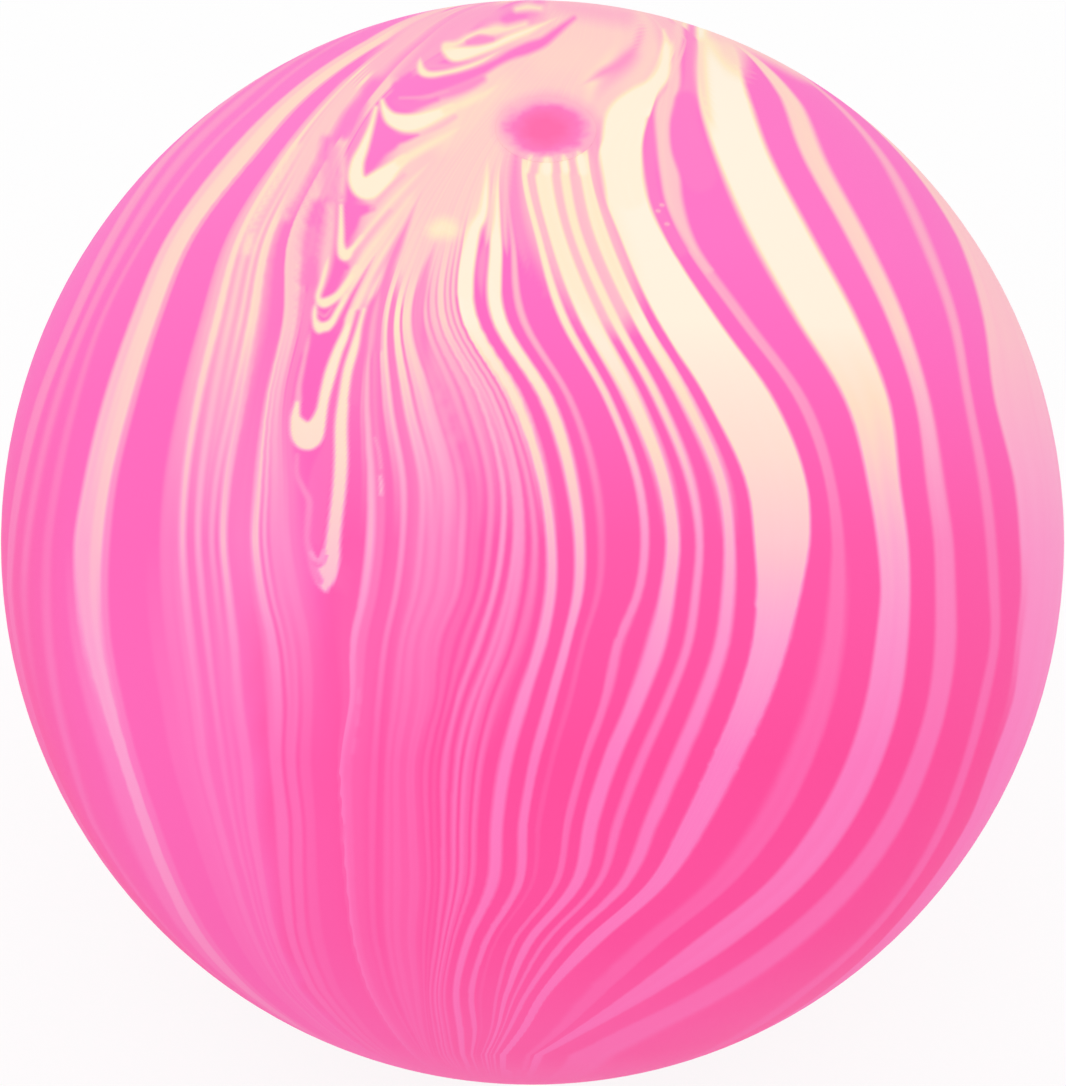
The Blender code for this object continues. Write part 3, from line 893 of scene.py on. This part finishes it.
def streak_cream(streaks, edge):
    """Cream of streaks across the flow, as the sum of ramps of a few streaks each."""
    total = None
    streaks = sorted((min(left, right), max(left, right), cream) for left, right, cream in streaks)
    for first in range(0, len(streaks), STREAKS_A_RAMP):
        group = streaks[first : first + STREAKS_A_RAMP]
        start = group[0][0] - 2 * edge
        end = group[-1][1] + 2 * edge
        stops = []
        for left, right, cream in group:
            half = min(edge, (right - left) / 2) * STOPS_APART
            if stops and left - stops[-1][0] < -edge / 2:
                stops.pop()
            else:
                begin = left - edge
                if stops and begin < stops[-1][0]:
                    begin = (begin + stops[-1][0]) / 2
                    stops[-1] = (begin, 0)
                stops.append((begin, 0))
            stops += [(left + half, cream), (right - half, cream), (right + edge, 0)]
        span = {"From Min": start / PHOTO_WIDTH, "From Max": end / PHOTO_WIDTH}
        place = add_node(tree, "MapRange", {"Value": flow_parts.outputs["X"], **span})
        ramp = add_node(tree, "ValToRGB", {"Fac": place})
        ramp.color_ramp.interpolation = "EASE"
        greys = [((mark - start) / (end - start), (cream, cream, cream, 1)) for mark, cream in stops]
        fill_ramp(ramp.color_ramp, greys)
        if total is None:
            total = ramp
        else:
            pair = {0: total, 1: ramp}
            total = add_node(tree, "Math", pair, operation="ADD")
    return total


row_creams = []
for level, row in enumerate(STREAK_ROWS):
    streaks = streak_cream(marked([streak[level] for streak in STREAKS], row), STREAK_EDGE)
    washes = streak_cream(marked([wash[level] for wash in WASHES], row), WASH_EDGE)
    row_creams.append(add_node(tree, "Math", {0: streaks, 1: washes}, operation="ADD"))
upper_cream, flow_cream, lower_cream = row_creams
upper_height, middle_height, lower_height = [row_height(row) for row in STREAK_ROWS]
for height, cream in ((upper_height, upper_cream), (lower_height, lower_cream)):
    span = {"From Min": middle_height, "From Max": height}
    share = add_node(tree, "MapRange", {"Value": flow_parts.outputs["Y"], **span})
    blend = {"Factor": share, "A": flow_cream, "B": cream}
    flow_cream = add_node(tree, "Mix", blend)
back_cream = streak_cream(BACK_STREAKS, BACK_EDGE)
all_cream = add_node(tree, "Math", {0: flow_cream, 1: back_cream}, operation="MAXIMUM", use_clamp=True)
stroke_cover_node = add_node(tree, "Attribute", {}, attribute_name="stroke_cover")
cream_laid_node = add_node(tree, "Attribute", {}, attribute_name="cream_laid")
bare_flow = add_node(tree, "Math", {0: 1.0, 1: stroke_cover_node.outputs["Fac"]}, operation="SUBTRACT")
cream_share = add_node(
    tree,
    "Math",
    {0: all_cream, 1: bare_flow, 2: cream_laid_node.outputs["Fac"]},
    operation="MULTIPLY_ADD",
    use_clamp=True,
)

# Fine fibres along the flow where the two rubbers mix: width in photo pixels, how far they run, depth.
FIBRE_WIDTH = 9
FIBRE_RUN = 0.9
FIBRE_DEPTH = 0.6
NOISE_MEAN = 0.5
stretch = add_node(
    tree, "VectorMath", {0: flow, 1: (PHOTO_WIDTH / FIBRE_WIDTH, 1 / FIBRE_RUN, 0)}, operation="MULTIPLY"
)
fibres = add_node(tree, "TexNoise", {"Vector": stretch, "Scale": 1.0, "Detail": 1.0})
fibre_lift = add_node(tree, "Math", {0: fibres, 1: NOISE_MEAN}, operation="SUBTRACT")
pink_share = add_node(tree, "Math", {0: 1.0, 1: cream_share}, operation="SUBTRACT")
both = add_node(tree, "Math", {0: cream_share, 1: pink_share}, operation="MULTIPLY")
fibre_room = add_node(tree, "Math", {0: both, 1: FIBRE_DEPTH}, operation="MULTIPLY")
mixed_share = add_node(
    tree, "Math", {0: fibre_lift, 1: fibre_room, 2: cream_share}, operation="MULTIPLY_ADD"
)

# Colours of the rubber by photo row: the pink left and right of the seam, the peach and the yellow
# where both rubbers mix, and the cream. Each is palest at the crown and deepens towards the base: this
# is painted shade, as if the ball were lit from above.
PINK_LEFT = ((130, "#fe7ccb"), (240, "#fe73c3"), (390, "#ff69be"), (540, "#ff66ba"), (940, "#ff64b6"))
PINK_RIGHT = (
    (130, "#fe75c6"), (240, "#fe73c5"), (345, "#ff6abf"), (540, "#ff59a9"),
    (760, "#ff4d9d"), (940, "#ff509f"), (1030, "#ff5da8"),
)
PEACH_MIX = (
    (130, "#ffc8c8"), (320, "#ffbfca"), (450, "#ffadcf"), (540, "#ff9dcf"),
    (640, "#ff90cb"), (760, "#ff80c5"), (1000, "#ff76bc"),
)
YELLOW_MIX = (
    (130, "#ffe8c4"), (320, "#ffe6c6"), (450, "#ffdac6"), (540, "#ffc6cc"),
    (640, "#ffacd4"), (760, "#ff9bcf"), (1000, "#ff85c2"),
)
CREAM_FULL = (
    (130, "#fff2de"), (320, "#fff0dc"), (450, "#ffe0da"), (540, "#ffd0da"),
    (640, "#ffb8d8"), (760, "#ffa6d4"), (990, "#ff8cc4"),
)


def colour_with_painted_shade(rows):
    """A colour that changes with the height up the ball, from photo rows and hex values; its deepening
    towards the base is painted shade.
    """
    place = add_node(
        tree, "MapRange", {"Value": flow_parts.outputs["Y"], "From Min": 1.0, "From Max": -1.0}
    )
    ramp = add_node(tree, "ValToRGB", {"Fac": place})
    stops = [((1 - row_height(row)) / 2, linear(hex_colour)) for row, hex_colour in rows]
    fill_ramp(ramp.color_ramp, stops)
    return ramp


# The shares of cream at which the mix is peach and yellow.
PEACH_SHARE = 0.6
YELLOW_SHARE = 0.88
# The two colours that a mix node takes and the one that it gives, by socket number.
FIRST_COLOUR = 6
SECOND_COLOUR = 7
MIXED_COLOUR = 2
# The warmer pink is the rubber's own right of the seam, and painted shade low down and towards the left
# rim.
warmth_and_shade_node = add_node(tree, "Attribute", {}, attribute_name="warmth_and_shade")
pinks = {FIRST_COLOUR: colour_with_painted_shade(PINK_LEFT), SECOND_COLOUR: colour_with_painted_shade(PINK_RIGHT)}
pink = add_node(tree, "Mix", {"Factor": warmth_and_shade_node.outputs["Fac"], **pinks}, data_type="RGBA")
skin_colour = pink.outputs[MIXED_COLOUR]
# Each mix below carries the painted shade of its colours, deeper towards the base.
from_share = 0.0
for to_share, rows in ((PEACH_SHARE, PEACH_MIX), (YELLOW_SHARE, YELLOW_MIX), (1.0, CREAM_FULL)):
    span = {"From Min": from_share, "From Max": to_share}
    share = add_node(tree, "MapRange", {"Value": mixed_share, **span})
    colours = {FIRST_COLOUR: skin_colour, SECOND_COLOUR: colour_with_painted_shade(rows)}
    mixed = add_node(tree, "Mix", {"Factor": share, **colours}, data_type="RGBA")
    skin_colour = mixed.outputs[MIXED_COLOUR]
    from_share = to_share

# The mould's grain is about 0.15 mm, drawn at 0.3 mm so that it shows.
GRAIN = 0.3 * MM
where = add_node(tree, "TexCoord", {})
grain = add_node(tree, "TexNoise", {"Vector": where.outputs["Object"], "Scale": 1 / GRAIN, "Detail": 2.0})
bump = add_node(tree, "Bump", {"Height": grain, "Strength": 0.06, "Distance": 0.05 * MM})
roughness = add_node(tree, "MapRange", {"Value": grain, "To Min": 0.5, "To Max": 0.62})
shader_inputs = {
    "Base Color": skin_colour,
    "Normal": bump,
    "Roughness": roughness,
    "IOR": 1.5,
    "Specular IOR Level": 0.12,
}
fill_inputs(tree, shader, shader_inputs)
skin.data.materials.append(skin_rubber)

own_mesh(skin)
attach(skin, "ball")
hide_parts("outer_skin")

# Soft filling
# The dough that the skin is filled with: a slack, sticky paste that takes the shape of the hollow.
# It is pumped in through the fill hole, and the stopper's barb presses a small pocket in its top.
FILL_GAP = 0.25 * MM
BARB_POCKET_RADIUS = 2.65 * MM
BARB_POCKET_TIP_RADIUS = 1.25 * MM
BARB_POCKET_RIM_Z = 64.21 * MM
BARB_POCKET_TIP_Z = 61.56 * MM
pocket = [
    (0, BARB_POCKET_TIP_Z),
    (BARB_POCKET_TIP_RADIUS, BARB_POCKET_TIP_Z),
    (BARB_POCKET_RADIUS, BARB_POCKET_RIM_Z),
    (BARB_POCKET_RADIUS, BOSS_FACE_Z - FILL_GAP),
]
PIECE_STEPS = 96
filling = turned_piece("dough_filling", pocket + inside_line(FILL_GAP), PIECE_STEPS)
bpy.ops.object.shade_smooth_by_angle(angle=SHARP_ANGLE)

# Dough, pumped in: matt, pale pink, with flour-fine specks and soft lumps.
dough, tree, shader = new_material("pale_pink_dough")
where = add_node(tree, "TexCoord", {})
LUMP = 4 * MM
SPECK = 0.4 * MM
lumps = add_node(tree, "TexNoise", {"Vector": where.outputs["Object"], "Scale": 1 / LUMP, "Detail": 3.0})
specks = add_node(tree, "TexNoise", {"Vector": where.outputs["Object"], "Scale": 1 / SPECK, "Detail": 1.0})
dough_colour = add_node(tree, "ValToRGB", {"Fac": lumps})
fill_ramp(dough_colour.color_ramp, [(0.3, linear("#f4cfd4")), (0.7, linear("#fbe2e2"))])
bump = add_node(tree, "Bump", {"Height": specks, "Strength": 0.3, "Distance": 0.1 * MM})
fill_inputs(tree, shader, {"Base Color": dough_colour, "Normal": bump, "Roughness": 0.8})
filling.data.materials.append(dough)
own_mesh(filling)
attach(filling, "ball")
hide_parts("soft_filling")

# Fill plug
# The rubber stopper that closes the fill hole: a head in the seat, a stem in the bore and a barb.
# It is moulded in one piece and pushed in, so that the barb locks behind the boss.
HEAD_RADIUS = 2.55 * MM
HEAD_TOP_Z = 70.498 * MM
HEAD_BASE_Z = 69.598 * MM
HEAD_EDGE = 0.2 * MM
STEM_RADIUS = 1.55 * MM
BARB_RADIUS = 2.4 * MM
BARB_TOP_Z = 64.61 * MM
BARB_RIM_Z = 64.21 * MM
BARB_TIP_RADIUS = 1.0 * MM
BARB_TIP_Z = 61.81 * MM
TIP_ROUND = 0.4 * MM
shank = [
    (STEM_RADIUS, HEAD_BASE_Z),
    (STEM_RADIUS, BARB_TOP_Z),
    (BARB_RADIUS, BARB_TOP_Z),
    (BARB_RADIUS, BARB_RIM_Z),
]
plug_section = (
    [(0, HEAD_TOP_Z)]
    + corner_arc(HEAD_RADIUS - HEAD_EDGE, HEAD_TOP_Z - HEAD_EDGE, HEAD_EDGE, 90, 0)
    + corner_arc(HEAD_RADIUS - HEAD_EDGE, HEAD_BASE_Z + HEAD_EDGE, HEAD_EDGE, 0, -90)
    + shank
    + corner_arc(BARB_TIP_RADIUS - TIP_ROUND, BARB_TIP_Z + TIP_ROUND, TIP_ROUND, 0, -90)
    + [(0, BARB_TIP_Z)]
)
plug = turned_piece("barbed_stopper", plug_section, PIECE_STEPS)
bpy.ops.object.shade_smooth_by_angle(angle=SHARP_ANGLE)

# Thermoplastic rubber of one pink, moulded: satin, with a slightly clouded colour.
plug_rubber, tree, shader = new_material("pink_thermoplastic_rubber")
where = add_node(tree, "TexCoord", {})
CLOUD = 1.5 * MM
clouds = add_node(tree, "TexNoise", {"Vector": where.outputs["Object"], "Scale": 1 / CLOUD, "Detail": 2.0})
plug_colour = add_node(tree, "ValToRGB", {"Fac": clouds})
fill_ramp(plug_colour.color_ramp, [(0.3, linear("#ff5aa0")), (0.7, linear("#ff70b0"))])
fill_inputs(tree, shader, {"Base Color": plug_colour, "Roughness": 0.55})
plug.data.materials.append(plug_rubber)
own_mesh(plug)
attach(plug, "crown")
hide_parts("fill_plug")

# Glue seal
# The drop of tinted glue over the stopper, the deep pink dot near the top of the ball.
# It is dabbed on wet and cures with a dished middle and a rim that creeps up the lip.
SEAL_RADIUS = 2.55 * MM
SEAL_BASE_Z = 70.748 * MM
SEAL_MIDDLE_Z = 71.45 * MM
SEAL_RIM_DEGREES = 105
SEAL_GAP = 0.005 * MM
SEAL_RINGS = 12
DISH_POWER = 3
rim = corner_arc(lip_x, lip_z - LIP_RADIUS, LIP_RADIUS + SEAL_GAP, SEAL_RIM_DEGREES, 180)
rim_x, rim_z = rim[0]
dish = []
for ring in range(SEAL_RINGS):
    share = ring / SEAL_RINGS
    dish.append((rim_x * share, SEAL_MIDDLE_Z + (rim_z - SEAL_MIDDLE_Z) * share**DISH_POWER))
seal_side = [(SEAL_RADIUS, rim[-1][1]), (SEAL_RADIUS, SEAL_BASE_Z), (0, SEAL_BASE_Z)]
seal = turned_piece("glue_dot", dish + rim[:-1] + seal_side, PIECE_STEPS)
bpy.ops.object.shade_smooth_by_angle(angle=SHARP_ANGLE)
# The drop thins out at its rim, where the marbling under it shows through, between two shares of the
# way out from the middle. Where no stroke lies under it, the rubber has a fixed share of cream.
SHOWS_FROM = 0.63
SHOWS_TO = 0.94
BARE_CREAM = 0.3
seal_units = unit_points(mesh_array(seal.data.vertices, "co", 3))
under_seal, under_cover = painted(seal_units, CROWN_STROKES)
under_seal += BARE_CREAM * (1 - under_cover)
seal.data.attributes.new("marbling_under", "FLOAT", "POINT").data.foreach_set("value", under_seal)

# Rubber cement, cured and tinted: a little glossier than the skin, with uneven depth of colour.
glue, tree, shader = new_material("tinted_rubber_cement")
where = add_node(tree, "TexCoord", {})
SMEAR = 1.2 * MM
smears = add_node(tree, "TexNoise", {"Vector": where.outputs["Object"], "Scale": 1 / SMEAR, "Detail": 2.0})
# The tint is deepest in the middle, where the drop is thickest.
TINT_MIDDLE_Y = 0.2 * MM
flat = add_node(
    tree,
    "VectorMath",
    {0: where.outputs["Object"], 1: (1, 1, 0), 2: (0, -TINT_MIDDLE_Y, 0)},
    operation="MULTIPLY_ADD",
)
from_middle = add_node(tree, "VectorMath", {0: flat}, operation="LENGTH")
smeared = add_node(
    tree, "Math", {0: smears, 1: SMEAR, 2: from_middle.outputs["Value"]}, operation="MULTIPLY_ADD"
)
mean_smear = NOISE_MEAN * SMEAR
tint_place = add_node(
    tree, "MapRange", {"Value": smeared, "From Min": mean_smear, "From Max": rim_x + mean_smear}
)
glue_colour = add_node(tree, "ValToRGB", {"Fac": tint_place})
fill_ramp(
    glue_colour.color_ramp,
    [
        (0.25, linear("#ff66a9")),
        (0.43, linear("#ff6db0")),
        (0.61, linear("#ff75ba")),
        (0.79, linear("#ff7ec5")),
    ],
)
marbling = add_node(tree, "Attribute", {}, attribute_name="marbling_under")
marbling_colour = add_node(tree, "ValToRGB", {"Fac": marbling.outputs["Fac"]})
fill_ramp(
    marbling_colour.color_ramp,
    [
        (0.0, linear("#fe75c6")),
        (PEACH_SHARE, linear("#ffc8c8")),
        (YELLOW_SHARE, linear("#ffe2c4")),
        (1.0, linear("#ffeccf")),
    ],
)
see_through = add_node(
    tree,
    "MapRange",
    {"Value": tint_place, "From Min": SHOWS_FROM, "From Max": SHOWS_TO},
    interpolation_type="SMOOTHSTEP",
)
layers = {FIRST_COLOUR: glue_colour, SECOND_COLOUR: marbling_colour}
tinted = add_node(tree, "Mix", {"Factor": see_through, **layers}, data_type="RGBA")
bump = add_node(tree, "Bump", {"Height": smears, "Strength": 0.2, "Distance": 0.1 * MM})
shader_inputs = {
    "Base Color": tinted.outputs[MIXED_COLOUR],
    "Normal": bump,
    "Roughness": 0.45,
    "Specular IOR Level": 0.25,
}
fill_inputs(tree, shader, shader_inputs)
seal.data.materials.append(glue)
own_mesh(seal)
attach(seal, "crown")
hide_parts("glue_seal")

# Floor
# A wide pale sheet that the ball rests on. To the eye it is nearly white, and it keeps the shadow.
FLOOR_SIZE = 4.0
FLOOR_GAP = 0.02 * MM
WHITE_SHARE = 0.88
bpy.ops.object.select_all(action="DESELECT")
bpy.ops.mesh.primitive_plane_add(size=FLOOR_SIZE, location=(0, 0, -FLOOR_GAP))
floor = bpy.context.object
floor.name = "pale_floor"
floor_paper, tree, shader = new_material("white_paper")
fill_inputs(tree, shader, {"Base Color": linear("#f6f6f6"), "Roughness": 0.9})
seen = add_node(tree, "LightPath", {})
seen_any = seen.outputs["Is Camera Ray"]
for ray in ("Is Glossy Ray", "Is Transmission Ray"):
    seen_any = add_node(tree, "Math", {0: seen_any, 1: seen.outputs[ray]}, operation="MAXIMUM")
white_share = add_node(tree, "Math", {0: seen_any, 1: WHITE_SHARE}, operation="MULTIPLY")
white = add_node(tree, "Emission", {"Color": (1, 1, 1, 1), "Strength": 1.0})
floor_look = add_node(tree, "MixShader", {0: white_share, 1: shader, 2: white})
fill_inputs(tree, tree.nodes["Material Output"], {"Surface": floor_look})
floor.data.materials.append(floor_paper)

# Light and camera
# Soft white light from all round, as in a light tent, with one large lamp above the viewer.
scene = bpy.context.scene
scene.view_settings.view_transform = "Standard"
world = bpy.data.worlds.new("light_tent")
world.use_nodes = True
world.node_tree.nodes["Background"].inputs["Color"].default_value = (1, 1, 1, 1)
world.node_tree.nodes["Background"].inputs["Strength"].default_value = 1.0
scene.world = world

LAMP_DIRECTION = (-0.3, -0.45, 0.84)
LAMP_DISTANCE = 0.6
LAMP_SIZE = 0.5
LAMP_POWER = 0.12
lamp_data = bpy.data.lights.new("soft_lamp", "AREA")
lamp_data.shape = "DISK"
lamp_data.size = LAMP_SIZE
lamp_data.energy = LAMP_POWER
lamp = bpy.data.objects.new("soft_lamp", lamp_data)
scene.collection.objects.link(lamp)
lamp_place = np.array(LAMP_DIRECTION) * LAMP_DISTANCE
lamp.location = lamp_place
lamp.rotation_euler = Vector(lamp_place).to_track_quat("Z", "Y").to_euler()

camera_data = bpy.data.cameras.new("photo_camera")
camera_data.lens = LENS_MM
camera_data.sensor_width = SENSOR_MM
camera = bpy.data.objects.new("photo_camera", camera_data)
scene.collection.objects.link(camera)
camera_frame = np.identity(4)
camera_frame[:3, 0] = eye_right
camera_frame[:3, 1] = eye_up
camera_frame[:3, 2] = towards_eye
camera_frame[:3, 3] = eye
camera.matrix_world = camera_frame.T
scene.camera = camera
